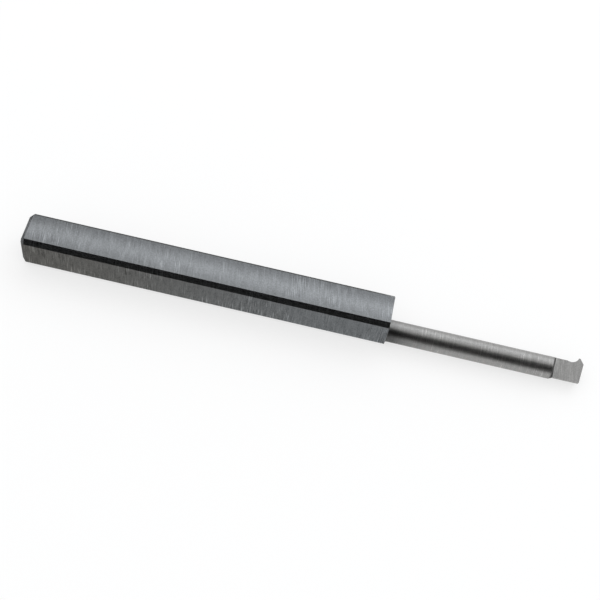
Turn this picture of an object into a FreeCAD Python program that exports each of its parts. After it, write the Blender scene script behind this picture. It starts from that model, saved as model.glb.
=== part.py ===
import FreeCAD, Part
import math
import os

# Carbide threading tool for internal threads, ground as one piece from a square bar.
# Sizes are in millimetres and degrees.
# X runs along the bar to the cutting point, Y across it to the side that cuts, and Z up.
# The origin is the centre of the face that the bar is seated on.

# The shank is a square bar of stock size with bevelled edges.
SHANK_WIDTH = 6.35
SHANK_LENGTH = 61.1
EDGE_BEVEL = 0.72
END_BEVEL = 0.6

# The neck is round, and lies close to the bar's near and bottom faces. It tapers a little where it
# meets the head.
NECK_DIAMETER = 3.7
NECK_LENGTH = 28.0
NECK_INSET = 0.1
NECK_ROOT_RADIUS = 0.25
NECK_TAPER_LENGTH = 0.6
NECK_TAPER_DEPTH = 0.28

# The wall where the round neck stops and the flat rake face starts.
WALL_SLOPE = 17.0
WALL_SKEW = 6.0
WALL_FOOT_RADIUS = 0.4

# The head below the rake face: a round shifted to the cutting side, and a wider heel.
HEAD_RADIUS = 1.88
HEAD_SHIFT = 0.27
HEAD_RISE = 0.1
HEEL_RADIUS = 3.8
RUNOUT_SLOPE = 45.0

# The cutting tooth, which has the full thread angle and a small flat at its point. The end of the
# head stands a little past the foot of its leading flank.
TOOTH_SETBACK = 4.23
TOOTH_HEIGHT = 0.88
THREAD_ANGLE = 60.0
POINT_FLAT = 0.2
END_LAND = 0.09

# The hollow ground behind the tooth, round like the wheel that made it.
HOLLOW_RADIUS = 1.33
HOLLOW_DEPTH = 0.13

# Clearances under the cutting edges.
SIDE_CLEARANCE = 15.0
END_CLEARANCE = 2.0
END_LEAN = 9.5

# How far a cutting shape reaches past what it cuts.
SPARE = 1.0

NECK_RADIUS = NECK_DIAMETER / 2
FRONT_X = SHANK_LENGTH / 2
AXIS_Y = -SHANK_WIDTH / 2 + NECK_INSET + NECK_RADIUS
AXIS_Z = NECK_INSET + NECK_RADIUS
FAR_EDGE = HEAD_SHIFT + HEAD_RADIUS
POINT_Y = FAR_EDGE + TOOTH_HEIGHT
POINT_X = NECK_LENGTH + TOOTH_SETBACK
HALF_THREAD = math.radians(THREAD_ANGLE / 2)
HEAD_END = POINT_X + POINT_FLAT / 2 + TOOTH_HEIGHT * math.tan(HALF_THREAD) + END_LAND


def at(x, y, z=0.0):
    """A place measured from where the neck's axis leaves the shank's front face."""
    return FreeCAD.Vector(FRONT_X + x, AXIS_Y + y, AXIS_Z + z)


def line(start, end):
    return Part.LineSegment(start, end).toShape()


def arc(start, middle, end):
    return Part.Arc(start, middle, end).toShape()


def face(edges):
    return Part.Face(Part.Wire(edges))


def polygon(points):
    """A flat face through the points, closed back to the first."""
    return Part.Face(Part.makePolygon(points + points[:1]))


def round_about_neck(outline):
    """The solid that an outline beside the neck's axis makes when it is spun round that axis."""
    return face(outline).revolve(at(0, 0), FreeCAD.Vector(1, 0, 0), 360)


def bar(start_x, end_x):
    """A length of the square bar with its four long edges bevelled."""
    half = SHANK_WIDTH / 2
    flat = half - EDGE_BEVEL
    corners = [(flat, -half), (half, -flat), (half, flat), (flat, half)]
    corners += [(-y, -z) for y, z in corners]
    points = [FreeCAD.Vector(start_x, y, half + z) for y, z in corners]
    return polygon(points).extrude(FreeCAD.Vector(end_x - start_x, 0, 0))


def shank():
    """The bar, with a bevel all round its back end."""
    blank = bar(-FRONT_X, FRONT_X)
    back_edges = [edge for edge in blank.Edges if edge.BoundBox.XMax < -FRONT_X + END_BEVEL / 2]
    return blank.makeChamfer(END_BEVEL, back_edges)


def neck():
    """The round neck, which flares into the shank as far as the bar's faces allow."""
    root = NECK_ROOT_RADIUS
    flare = NECK_RADIUS + root
    inner = root * (1 - math.sqrt(0.5))
    taper_start = NECK_LENGTH - NECK_TAPER_LENGTH
    end_radius = NECK_RADIUS - NECK_TAPER_DEPTH
    outline = [
        line(at(-SPARE, 0), at(-SPARE, flare)),
        line(at(-SPARE, flare), at(0, flare)),
        arc(at(0, flare), at(inner, NECK_RADIUS + inner), at(root, NECK_RADIUS)),
        line(at(root, NECK_RADIUS), at(taper_start, NECK_RADIUS)),
        line(at(taper_start, NECK_RADIUS), at(NECK_LENGTH, end_radius)),
        line(at(NECK_LENGTH, end_radius), at(NECK_LENGTH, 0)),
        line(at(NECK_LENGTH, 0), at(-SPARE, 0)),
    ]
    return round_about_neck(outline).common(bar(FRONT_X - SPARE, FRONT_X + NECK_LENGTH + SPARE))


def head_bar():
    """The head's section, drawn along the tool: round in front, and a shallower heel behind."""
    start_x = NECK_LENGTH - SPARE
    top = HEAD_RISE + HEAD_RADIUS
    bottom = HEAD_RISE - HEAD_RADIUS
    near = HEAD_SHIFT - HEAD_RADIUS
    outer = POINT_Y + SPARE
    heel_turn = math.asin((POINT_Y - HEAD_SHIFT) / HEEL_RADIUS)
    heel_middle_y = HEAD_SHIFT + HEEL_RADIUS * math.sin(heel_turn / 2)
    heel_middle_z = bottom + HEEL_RADIUS * (1 - math.cos(heel_turn / 2))
    heel_top = bottom + HEEL_RADIUS * (1 - math.cos(heel_turn))

    def place(y, z):
        return at(start_x, y, z)

    section = [
        arc(place(HEAD_SHIFT, top), place(near, HEAD_RISE), place(HEAD_SHIFT, bottom)),
        arc(place(HEAD_SHIFT, bottom), place(heel_middle_y, heel_middle_z), place(POINT_Y, heel_top)),
        line(place(POINT_Y, heel_top), place(outer, heel_top)),
        line(place(outer, heel_top), place(outer, top)),
        line(place(outer, top), place(HEAD_SHIFT, top)),
    ]
    return face(section).extrude(FreeCAD.Vector(HEAD_END - start_x + SPARE, 0, 0))


def edge_profile():
    """The cutting edges seen from above, carried down and inwards at the side clearance."""
    slope = math.tan(math.radians(SIDE_CLEARANCE))
    over = HEAD_RISE + HEAD_RADIUS + SPARE
    under = HEAD_RADIUS - HEAD_RISE + SPARE

    flank_x = POINT_X - POINT_FLAT / 2
    hollow_y = FAR_EDGE - HOLLOW_DEPTH + HOLLOW_RADIUS
    touch_y = hollow_y - HOLLOW_RADIUS * math.sin(HALF_THREAD)
    touch_x = flank_x - (POINT_Y - touch_y) * math.tan(HALF_THREAD)
    hollow_x = touch_x - HOLLOW_RADIUS * math.cos(HALF_THREAD)
    hollow_half = math.sqrt(HOLLOW_RADIUS ** 2 - (HOLLOW_RADIUS - HOLLOW_DEPTH) ** 2)

    near_y = HEAD_SHIFT - HEAD_RADIUS - SPARE
    start_x = NECK_LENGTH - 2 * SPARE
    end_x = HEAD_END + 2 * SPARE
    lead_y = POINT_Y - (end_x - POINT_X - POINT_FLAT / 2) / math.tan(HALF_THREAD)

    def place(x, y):
        return at(x, y + over * slope, over)

    hollow_start = place(hollow_x - hollow_half, FAR_EDGE)
    hollow_middle = place(hollow_x, FAR_EDGE - HOLLOW_DEPTH)
    flank_start = place(touch_x, touch_y)
    point_back = place(flank_x, POINT_Y)
    point_front = place(POINT_X + POINT_FLAT / 2, POINT_Y)
    lead_end = place(end_x, lead_y)
    near_end = place(end_x, near_y)
    near_start = place(start_x, near_y)
    far_start = place(start_x, FAR_EDGE)
    outline = [
        line(far_start, hollow_start),
        arc(hollow_start, hollow_middle, flank_start),
        line(flank_start, point_back),
        line(point_back, point_front),
        line(point_front, lead_end),
        line(lead_end, near_end),
        line(near_end, near_start),
        line(near_start, far_start),
    ]
    drop = over + under
    return face(outline).extrude(FreeCAD.Vector(0, -drop * slope, -drop))


def runout():
    """The space the head may fill: as wide as the neck at first, and then a cone."""
    start_x = NECK_LENGTH - NECK_TAPER_LENGTH
    end_x = HEAD_END + SPARE
    end_radius = NECK_RADIUS + (end_x - NECK_LENGTH) * math.tan(math.radians(RUNOUT_SLOPE))
    outline = [
        line(at(start_x, 0), at(start_x, NECK_RADIUS)),
        line(at(start_x, NECK_RADIUS), at(NECK_LENGTH, NECK_RADIUS)),
        line(at(NECK_LENGTH, NECK_RADIUS), at(end_x, end_radius)),
        line(at(end_x, end_radius), at(end_x, 0)),
        line(at(end_x, 0), at(start_x, 0)),
    ]
    return round_about_neck(outline)


def turned(shape, angle, x, y):
    """The shape turned about an upright line through its own origin, then put at a place on the head."""
    shape.rotate(FreeCAD.Vector(0, 0, 0), FreeCAD.Vector(0, 0, 1), angle)
    shape.translate(at(x, y))
    return shape


def end_cutter():
    """What is ground off the end: a plane that leans back in plan and again as it goes down."""
    reach = SHANK_WIDTH
    back = reach * math.tan(math.radians(END_CLEARANCE))
    points = [
        FreeCAD.Vector(-back, -reach, -reach),
        FreeCAD.Vector(reach, -reach, -reach),
        FreeCAD.Vector(reach, -reach, reach),
        FreeCAD.Vector(back, -reach, reach),
    ]
    cutter = polygon(points).extrude(FreeCAD.Vector(0, 2 * reach, 0))
    return turned(cutter, -END_LEAN, HEAD_END, FAR_EDGE)


def rake_cutter():
    """What is ground off the top: down to the neck's axis, with a sloping wall at the back."""
    reach = SHANK_WIDTH
    length = HEAD_END - NECK_LENGTH + 2 * SPARE
    slope = math.radians(WALL_SLOPE)
    foot = WALL_FOOT_RADIUS
    turn = (math.pi / 2 - slope) / 2
    tangent = foot * math.tan(turn)

    def place(x, z):
        return FreeCAD.Vector(x, -reach, z)

    wall_foot = place(-tangent * math.sin(slope), tangent * math.cos(slope))
    foot_middle = place(tangent - foot * math.sin(turn), foot * (1 - math.cos(turn)))
    floor_start = place(tangent, 0)
    outline = [
        line(place(-reach * math.tan(slope), reach), wall_foot),
        arc(wall_foot, foot_middle, floor_start),
        line(floor_start, place(length, 0)),
        line(place(length, 0), place(length, reach)),
        line(place(length, reach), place(-reach * math.tan(slope), reach)),
    ]
    cutter = face(outline).extrude(FreeCAD.Vector(0, 2 * reach, 0))
    return turned(cutter, -WALL_SKEW, NECK_LENGTH, 0)


def threading_tool():
    """The whole tool, one solid."""
    head = head_bar().common(edge_profile()).common(runout()).cut(end_cutter())
    ground = neck().fuse(head).cut(rake_cutter())
    return shank().fuse(ground).removeSplitter()


def main():
    os.makedirs("parts", exist_ok=True)
    tool = threading_tool()
    tool.exportStep("parts/threading_tool.step")


main()
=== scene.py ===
import math
import bpy
from mathutils import Matrix, Vector


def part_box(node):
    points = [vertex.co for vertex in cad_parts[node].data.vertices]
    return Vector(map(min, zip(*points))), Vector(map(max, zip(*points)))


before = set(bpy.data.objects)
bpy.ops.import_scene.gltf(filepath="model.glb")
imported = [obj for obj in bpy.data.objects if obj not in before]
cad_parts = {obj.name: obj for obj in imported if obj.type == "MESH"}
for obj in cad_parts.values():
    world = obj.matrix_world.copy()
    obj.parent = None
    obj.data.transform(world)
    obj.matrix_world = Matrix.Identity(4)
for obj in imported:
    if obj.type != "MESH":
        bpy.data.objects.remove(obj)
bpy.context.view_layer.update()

# The camera and the stage are in metres and degrees, and the lens in millimetres.
MM = 0.001

# The camera looks down across the shank, turned and rolled as the tool lies in the picture.
LENS = 67.13
LOOK_DOWN = 56.92
LOOK_TURN = -1.01
ROLL = 12.08
CAMERA_DISTANCE = 183.4 * MM
AIM_FROM_MIDDLE = Vector((-0.94, -0.07, 0.0)) * MM
NEAREST_SEEN = 0.01
FARTHEST_SEEN = 10.0

# The floor under the tool is a plain pale sheet in a white room. Part of it glows white where it
# is seen, so that the tool's shadow stays light.
FLOOR_SIZE = 3.0
FLOOR_COLOUR = (0.88, 0.88, 0.88, 1.0)
FLOOR_GLOW = 0.65
ROOM_LIGHT = 1.0

# The soft box hangs behind the tool and above it. Its elevation is measured from behind, and its
# shift is along X. Its brightness is a radiance, so it stays the same when the box's size changes.
BOX_RADIANCE = 1.27
BOX_COLOUR = (0.96, 1.0, 1.04)
BOX_SIZE = (1.2, 0.55)
BOX_DISTANCE = 0.9
BOX_ELEVATION = 44.0
BOX_SHIFT = 0.35

# The black flag stands on the camera's side and shows only in reflections. It curves round the
# tool's long axis from a low to a high elevation, and reaches from left to right along X.
FLAG_RADIUS = 0.7
FLAG_LOW = 0.0
FLAG_HIGH = 84.0
FLAG_LEFT = -1.8
FLAG_RIGHT = 4.0
FLAG_STEPS = 24
BLACK = (0.0, 0.0, 0.0, 1.0)

# Upright black cards stand beyond the head and beyond the back end, and show only in reflections.
# Each is a distance along X, a start and an end across the bar, and a height.
HEAD_CARD = (0.7, -0.7, 0.7, 0.6)
BACK_CARD = (-0.7, 0.1, 1.4, 0.3)

# Grey cards lie on the floor round the shank and glow, and show only in reflections, where they
# stand in for the shaded floor next to the tool: painted shade. The near one is darker and warmer at
# its left end, and fades out beside the neck. The colours are what the cards send out.
NEAR_CARD_LEFT = (0.38, 0.36, 0.33)
NEAR_CARD_RIGHT = (0.52, 0.53, 0.535)
FAR_CARD = (0.2, 0.2, 0.2)
END_CARD = (0.2, 0.2, 0.2)
FADED_CARD = (0.92, 0.92, 0.92)
CARD_LEFT = -0.4
NEAR_CARD_START = -0.045
CARD_DEPTH = 0.1
CARD_LIFT = 0.02 * MM
CARD_FADE = (1.5 * MM, 10 * MM)

# Ground carbide. The shank is a little bluer and darker than the neck and the head. The highlights
# are drawn out by the grinding lines, which run a quarter turn from the shader's tangent and also
# dent the surface a little.
SHANK_COLOUR = (0.271, 0.282, 0.292)
NECK_COLOUR = (0.461, 0.457, 0.450)
RAKE_COLOUR = (0.349, 0.344, 0.336)
SHANK_ROUGHNESS = 0.48
NECK_ROUGHNESS = 0.63
ROUGHNESS_SWING = 0.03
GRAIN_STRETCH = 0.8
QUARTER_TURN = 0.25
LINE_BUMP = 0.25
LINE_DEPTH = 0.01 * MM

# Places in the finish are in millimetres. A pair of numbers is where a change starts and where it
# ends, and a shade is what the colour is multiplied by.
NECK_LENGTH = 28.0
NECK_AXIS_Y = -1.225
SHANK_EDGE = 0.02

# How far up or down a face's normal points where the face counts as level.
LEVEL_FACE = (0.97, 0.99)

# Painted highlight and shade across the level faces of the shank: brightest near the middle and
# darker towards both edges. Each is a share of the way from the camera's side to behind, and a
# level.
PAINTED_SHEEN_SHADES = [(0.1, 0.77), (0.46, 1.0), (0.9, 0.60)]

# The neck ends at a wall that runs a little askew. The corner at the wall's foot is darkened with
# painted shade, more in some places along the wall than in others.
WALL_SKEW = 0.105
WALL_ENDS = (-3.1, 0.9)
CORNER_SHADE_LEVELS = [(0.0, 0.1), (0.3, 0.5), (0.65, 0.12), (0.95, 0.34)]
BEFORE_WALL_FOOT = (-0.6, -0.15)
CORNER_SHADE_PAST_WALL = (-0.1, 0.15)

# Painted shade darkens the near side of the neck where it leaves the shank.
ROOT_SHADE = 0.5
ROOT_LENGTH = (0.2, 4.0)
ROOT_SIDE = (-1.0, -0.3)

# The grinding lines are noise drawn out across the bar. They lean a little across the top of the
# shank, and run straight up its sides and round the neck. Soft streaks lie under fine hairs, light
# and dark, which are stronger in some patches, and a fine grain lies over them. All are stronger on
# the shank's sides and weaker on the neck. Each noise is a scale, a detail and a roughness.
NOISE_SPREAD = (0.3, 0.7)
LINE_LEAN = 0.15
STREAK_NOISE = (1.8, 1.0, 0.5)
STREAK_STRETCH = 0.2
STREAK_SHADE = 0.06
HAIR_NOISE = (8.0, 1.0, 0.5)
HAIR_STRETCH = 0.04
HAIR_SHADE = 0.38
LIGHT_HAIR = (0.56, 0.7)
DARK_HAIR = (0.3, 0.45)
DARK_HAIR_SHARE = 0.4
PATCH_NOISE = (0.22, 2.0, 0.5)
PATCH_SPREAD = (0.35, 0.65)
PATCH_SHADE = (0.4, 1.6)
GRAIN_NOISE = (7.0, 2.0, 0.6)
GRAIN_SHADE = 0.17
SIDE_CONTRAST = 1.8
NECK_CONTRAST = 0.75

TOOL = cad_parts["threading_tool"]
tool_low, tool_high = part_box("threading_tool")
middle = (tool_low + tool_high) / 2
SHANK_FRONT = -tool_low.x / MM
SHANK_WIDTH = (tool_high.z - tool_low.z) / MM


class Nodes:
    """A short way to write a node tree. What goes into a socket is a value or a node's output."""

    def __init__(self, tree):
        self.tree = tree
        self.tree.nodes.clear()

    def add(self, kind, inputs=None, **settings):
        node = self.tree.nodes.new(kind)
        for name, value in settings.items():
            setattr(node, name, value)
        for key, value in (inputs or {}).items():
            self.put(node.inputs[key], value)
        return node

    def put(self, socket, value):
        if isinstance(value, bpy.types.NodeSocket):
            self.tree.links.new(value, socket)
        else:
            socket.default_value = value

    def math(self, operation, *values):
        node = self.add("ShaderNodeMath", operation=operation)
        for socket, value in zip(node.inputs, values):
            self.put(socket, value)
        return node.outputs[0]

    def scaled(self, vector, scale):
        inputs = {"Vector": vector, "Scale": scale}
        return self.add("ShaderNodeVectorMath", operation="SCALE", inputs=inputs).outputs["Vector"]

    def split(self, place):
        return self.add("ShaderNodeSeparateXYZ", inputs={0: place}).outputs

    def join(self, x, y, z):
        return self.add("ShaderNodeCombineXYZ", inputs={0: x, 1: y, 2: z}).outputs[0]

    def mix(self, factor, low, high):
        """A number between two others. The node's sockets for numbers are 2 and 3."""
        inputs = {0: factor, 2: low, 3: high}
        return self.add("ShaderNodeMix", data_type="FLOAT", inputs=inputs).outputs[0]

    def mix_colour(self, factor, low, high):
        """A colour between two others. The node's sockets for vectors are 4 and 5."""
        inputs = {0: factor, 4: low, 5: high}
        return self.add("ShaderNodeMix", data_type="VECTOR", inputs=inputs).outputs[1]

    def share(self, value, low, high):
        """How far a value is from low to high, as a share of the way."""
        length = high - low
        return self.math("MULTIPLY_ADD", value, 1 / length, -low / length)

    def between(self, value, low, high, to_low=0.0, to_high=1.0):
        """A smooth change that starts where the value is low and ends where it is high."""
        ends = {"From Min": low, "From Max": high, "To Min": to_low, "To Max": to_high}
        inputs = {"Value": value, **ends}
        node = self.add("ShaderNodeMapRange", interpolation_type="SMOOTHSTEP", inputs=inputs)
        return node.outputs["Result"]

    def ramp(self, value, stops):
        """A smooth run through the stops, each a position and a level."""
        node = self.add("ShaderNodeValToRGB", inputs={0: value})
        node.color_ramp.interpolation = "EASE"
        elements = node.color_ramp.elements
        ready = len(elements)
        for i, (position, level) in enumerate(stops):
            stop = elements[i] if i < ready else elements.new(position)
            stop.position = position
            stop.color = (level, level, level, 1.0)
        return node.outputs[0]

    def noise(self, place, scale, detail, roughness):
        inputs = {"Vector": place, "Scale": scale, "Detail": detail, "Roughness": roughness}
        return self.add("ShaderNodeTexNoise", inputs=inputs).outputs["Fac"]

    def swing(self, noise):
        """A noise spread out to run from -1 to 1."""
        return self.between(noise, *NOISE_SPREAD, -1.0, 1.0)

    def surface(self, shader):
        """Gives the material its surface."""
        self.add("ShaderNodeOutputMaterial", inputs={"Surface": shader.outputs[0]})


def new_material(name):
    material = bpy.data.materials.new(name)
    material.use_nodes = True
    return material, Nodes(material.node_tree)


def from_wall(nodes, x, y):
    """How far a place is past the foot of the wall."""
    skew = nodes.math("MULTIPLY", nodes.math("SUBTRACT", y, NECK_AXIS_Y), WALL_SKEW)
    return nodes.math("SUBTRACT", nodes.math("SUBTRACT", x, SHANK_FRONT + NECK_LENGTH), skew)


def painted_sheen_shade(nodes, y, is_level, past_shank):
    """Painted highlight and shade on the shank's level faces: brightest near the middle, darker
    towards the edges.
    """
    sheen = nodes.ramp(nodes.share(y, -SHANK_WIDTH / 2, SHANK_WIDTH / 2), PAINTED_SHEEN_SHADES)
    return nodes.mix(past_shank, nodes.mix(is_level, 1.0, sheen), 1.0)


def painted_corner_shade(nodes, y, past_wall):
    """Painted shade in the corner at the foot of the wall."""
    shaded_corner = nodes.math(
        "MULTIPLY",
        nodes.between(past_wall, *BEFORE_WALL_FOOT),
        nodes.between(past_wall, *CORNER_SHADE_PAST_WALL, 1.0, 0.0),
    )
    return nodes.mix(shaded_corner, 1.0, nodes.ramp(nodes.share(y, *WALL_ENDS), CORNER_SHADE_LEVELS))


def painted_root_shade(nodes, x, y, past_shank):
    """Painted shade on the near side of the neck's root."""
    root = nodes.math(
        "MULTIPLY",
        nodes.between(nodes.math("SUBTRACT", x, SHANK_FRONT), *ROOT_LENGTH, 1.0, 0.0),
        nodes.between(nodes.math("SUBTRACT", y, NECK_AXIS_Y), *ROOT_SIDE, 1.0, 0.0),
    )
    return nodes.mix(nodes.math("MULTIPLY", root, past_shank), 1.0, ROOT_SHADE)


def grinding_lines(nodes, place, lean, noise, stretch):
    """Noise drawn out into lines across the bar."""
    x, y, z = nodes.split(place)
    along = nodes.math("MULTIPLY_ADD", y, lean, x)
    across, upward = (nodes.math("MULTIPLY", length, stretch) for length in (y, z))
    return nodes.noise(nodes.join(along, across, upward), *noise)


def line_shade(nodes, place, lean, fine_lines, contrast):
    """The light and dark of the streaks, the hairs and the grain together."""
    streaks = nodes.swing(grinding_lines(nodes, place, lean, STREAK_NOISE, STREAK_STRETCH))
    light = nodes.between(fine_lines, *LIGHT_HAIR)
    dark = nodes.between(fine_lines, *DARK_HAIR, DARK_HAIR_SHARE, 0.0)
    patch = nodes.between(nodes.noise(place, *PATCH_NOISE), *PATCH_SPREAD, *PATCH_SHADE)
    hairs = nodes.math("MULTIPLY", nodes.math("SUBTRACT", light, dark), patch)
    grain = nodes.swing(nodes.noise(place, *GRAIN_NOISE))

    shade = nodes.math("MULTIPLY", streaks, STREAK_SHADE)
    shade = nodes.math("MULTIPLY_ADD", hairs, HAIR_SHADE, shade)
    shade = nodes.math("MULTIPLY_ADD", grain, GRAIN_SHADE, shade)
    return nodes.math("MULTIPLY_ADD", shade, contrast, 1.0)


def ground_carbide():
    """Grey carbide with fine grinding lines across the bar and round the neck."""
    material, nodes = new_material("ground_carbide")
    coordinates = nodes.add("ShaderNodeTexCoord").outputs
    place = nodes.scaled(coordinates["Object"], 1 / MM)
    x, y = nodes.split(place)[:2]

    upward = nodes.math("ABSOLUTE", nodes.split(coordinates["Normal"])[2])
    is_level = nodes.between(upward, *LEVEL_FACE)
    past_shank = nodes.between(x, SHANK_FRONT - SHANK_EDGE, SHANK_FRONT + SHANK_EDGE)
    past_wall = from_wall(nodes, x, y)
    is_rake = nodes.math("MULTIPLY", nodes.between(past_wall, *BEFORE_WALL_FOOT), is_level)

    lean = nodes.mix(past_shank, LINE_LEAN, 0.0)
    fine_lines = grinding_lines(nodes, place, lean, HAIR_NOISE, HAIR_STRETCH)
    contrast = nodes.mix(past_shank, nodes.mix(is_level, SIDE_CONTRAST, 1.0), NECK_CONTRAST)
    # Besides the grinding lines, these shades paint highlight and shade: a sheen band on the shank's
    # level faces, shade in the corner at the wall's foot, and shade at the neck's root.
    shades = [
        line_shade(nodes, place, lean, fine_lines, contrast),
        painted_sheen_shade(nodes, y, is_level, past_shank),
        painted_corner_shade(nodes, y, past_wall),
        painted_root_shade(nodes, x, y, past_shank),
    ]
    colour = nodes.mix_colour(past_shank, SHANK_COLOUR, NECK_COLOUR)
    colour = nodes.mix_colour(is_rake, colour, RAKE_COLOUR)
    for shade in shades:
        colour = nodes.scaled(colour, shade)

    roughness = nodes.mix(past_shank, SHANK_ROUGHNESS, NECK_ROUGHNESS)
    roughness = nodes.math("MULTIPLY_ADD", nodes.swing(fine_lines), ROUGHNESS_SWING, roughness)
    dents = {"Strength": LINE_BUMP, "Distance": LINE_DEPTH, "Height": fine_lines}
    bump = nodes.add("ShaderNodeBump", inputs=dents)
    tangent = nodes.add("ShaderNodeTangent", direction_type="RADIAL", axis="X")
    shader = nodes.add(
        "ShaderNodeBsdfPrincipled",
        inputs={
            "Base Color": colour,
            "Metallic": 1.0,
            "Roughness": roughness,
            "Anisotropic": GRAIN_STRETCH,
            "Anisotropic Rotation": QUARTER_TURN,
            "Normal": bump.outputs[0],
            "Tangent": tangent.outputs[0],
        },
    )
    nodes.surface(shader)
    return material


def matt(name, colour):
    material, nodes = new_material(name)
    nodes.surface(nodes.add("ShaderNodeBsdfDiffuse", inputs={"Color": colour}))
    return material


def pale_floor():
    """A matt pale floor that glows a little where the camera or a reflection sees it."""
    material, nodes = new_material("pale_floor")
    path = nodes.add("ShaderNodeLightPath").outputs
    seen = nodes.math("MAXIMUM", path["Is Camera Ray"], path["Is Glossy Ray"])
    seen = nodes.math("MAXIMUM", seen, path["Is Transmission Ray"])
    glow = nodes.math("MULTIPLY", seen, FLOOR_GLOW)
    lit = nodes.add("ShaderNodeBsdfDiffuse", inputs={"Color": FLOOR_COLOUR})
    white = nodes.add("ShaderNodeEmission")
    inputs = {0: glow, 1: lit.outputs[0], 2: white.outputs[0]}
    nodes.surface(nodes.add("ShaderNodeMixShader", inputs=inputs))
    return material


def sheet(name, rows, material):
    """A stage piece made of rows of points, joined by faces."""
    width = len(rows[0])
    points = [point for row in rows for point in row]
    faces = []
    for i in range(len(rows) - 1):
        for j in range(width - 1):
            first = i * width + j
            faces.append((first, first + 1, first + 1 + width, first + width))
    mesh = bpy.data.meshes.new(name)
    mesh.from_pydata(points, [], faces)
    mesh.materials.append(material)
    piece = bpy.data.objects.new(name, mesh)
    bpy.context.scene.collection.objects.link(piece)
    return piece


def only_in_reflections(piece):
    """Hides a piece from the camera and from matt surfaces, and takes its shadow away."""
    piece.visible_camera = False
    piece.visible_diffuse = False
    piece.visible_shadow = False


def floor():
    half = FLOOR_SIZE / 2
    rows = [[(x, y, tool_low.z) for x in (-half, half)] for y in (-half, half)]
    sheet("floor", rows, pale_floor())


def on_arc(elevation, radius):
    """A place round the tool's long axis: 0 is the camera's side, 90 is above and 180 is behind."""
    turn = math.radians(elevation)
    return middle + radius * Vector((0, -math.cos(turn), math.sin(turn)))


def flag(material):
    steps = [FLAG_LOW + (FLAG_HIGH - FLAG_LOW) * i / FLAG_STEPS for i in range(FLAG_STEPS + 1)]
    ends = [Vector((end, 0, 0)) for end in (FLAG_LEFT, FLAG_RIGHT)]
    rows = [[on_arc(step, FLAG_RADIUS) + end for end in ends] for step in steps]
    only_in_reflections(sheet("flag", rows, material))


def upright_card(name, material, x, start, end, height):
    rows = [[(x, y, z) for y in (start, end)] for z in (0.0, height)]
    only_in_reflections(sheet(name, rows, material))


def floor_card(name, sides, ends, left_colour, right_colour):
    """A glowing card that changes colour along the shank, and fades out past the shank's front. It
    is painted shade, standing in for the shaded floor in reflections.
    """
    material, nodes = new_material(name)
    x = nodes.split(nodes.add("ShaderNodeTexCoord").outputs["Object"])[0]
    front = SHANK_FRONT * MM
    colour = nodes.mix_colour(nodes.between(x, -front, front), left_colour, right_colour)
    fade_start, fade_end = (front + step for step in CARD_FADE)
    colour = nodes.mix_colour(nodes.between(x, fade_start, fade_end), colour, FADED_CARD)
    nodes.surface(nodes.add("ShaderNodeEmission", inputs={"Color": colour}))

    height = tool_low.z + CARD_LIFT
    rows = [[(x, y, height) for x in ends] for y in sides]
    only_in_reflections(sheet(name, rows, material))


def floor_cards():
    near, far = tool_low.y, tool_high.y
    front = SHANK_FRONT * MM
    near_ends = (NEAR_CARD_START, front + CARD_FADE[1])
    floor_card("near_card", (near - CARD_DEPTH, near), near_ends, NEAR_CARD_LEFT, NEAR_CARD_RIGHT)
    floor_card("far_card", (far, far + CARD_DEPTH), (CARD_LEFT, front), FAR_CARD, FAR_CARD)
    floor_card("end_card", (near, far), (CARD_LEFT, -front), END_CARD, END_CARD)


def soft_box():
    lamp = bpy.data.lights.new("soft_box", "AREA")
    lamp.shape = "RECTANGLE"
    lamp.size, lamp.size_y = BOX_SIZE
    lamp.color = BOX_COLOUR
    lamp.energy = BOX_RADIANCE * math.pi * lamp.size * lamp.size_y
    piece = bpy.data.objects.new("soft_box", lamp)
    piece.location = on_arc(180 - BOX_ELEVATION, BOX_DISTANCE) + Vector((BOX_SHIFT, 0, 0))
    piece.rotation_mode = "QUATERNION"
    piece.rotation_quaternion = (middle - piece.location).to_track_quat("-Z", "Y")
    bpy.context.scene.collection.objects.link(piece)


def room():
    world = bpy.data.worlds.new("room")
    world.use_nodes = True
    nodes = Nodes(world.node_tree)
    inputs = {"Color": (1.0, 1.0, 1.0, 1.0), "Strength": ROOM_LIGHT}
    white = nodes.add("ShaderNodeBackground", inputs=inputs)
    nodes.add("ShaderNodeOutputWorld", inputs={"Surface": white.outputs[0]})
    bpy.context.scene.world = world


def camera():
    """The camera, turned by the directions that are ahead, right and up in its picture."""
    down, turn, roll = (math.radians(angle) for angle in (LOOK_DOWN, LOOK_TURN, ROLL))
    level = Vector((math.cos(turn), -math.sin(turn), 0.0))
    ahead = Vector((math.sin(turn), math.cos(turn), -math.tan(down))) * math.cos(down)
    upright = level.cross(ahead)
    right = math.cos(roll) * level + math.sin(roll) * upright
    top = math.cos(roll) * upright - math.sin(roll) * level
    place = middle + AIM_FROM_MIDDLE - CAMERA_DISTANCE * ahead

    data = bpy.data.cameras.new("camera")
    data.lens = LENS
    data.clip_start = NEAREST_SEEN
    data.clip_end = FARTHEST_SEEN
    piece = bpy.data.objects.new("camera", data)
    turned = Matrix((right, top, -ahead)).transposed().to_4x4()
    piece.matrix_world = Matrix.Translation(place) @ turned
    bpy.context.scene.collection.objects.link(piece)
    bpy.context.scene.camera = piece


def dress_tool():
    TOOL.data.materials.clear()
    TOOL.data.materials.append(ground_carbide())


def set_stage():
    black = matt("black", BLACK)
    floor()
    flag(black)
    upright_card("head_card", black, *HEAD_CARD)
    upright_card("back_card", black, *BACK_CARD)
    floor_cards()
    soft_box()
    room()
    camera()


dress_tool()
set_stage()
bpy.context.scene.view_settings.view_transform = "Standard"
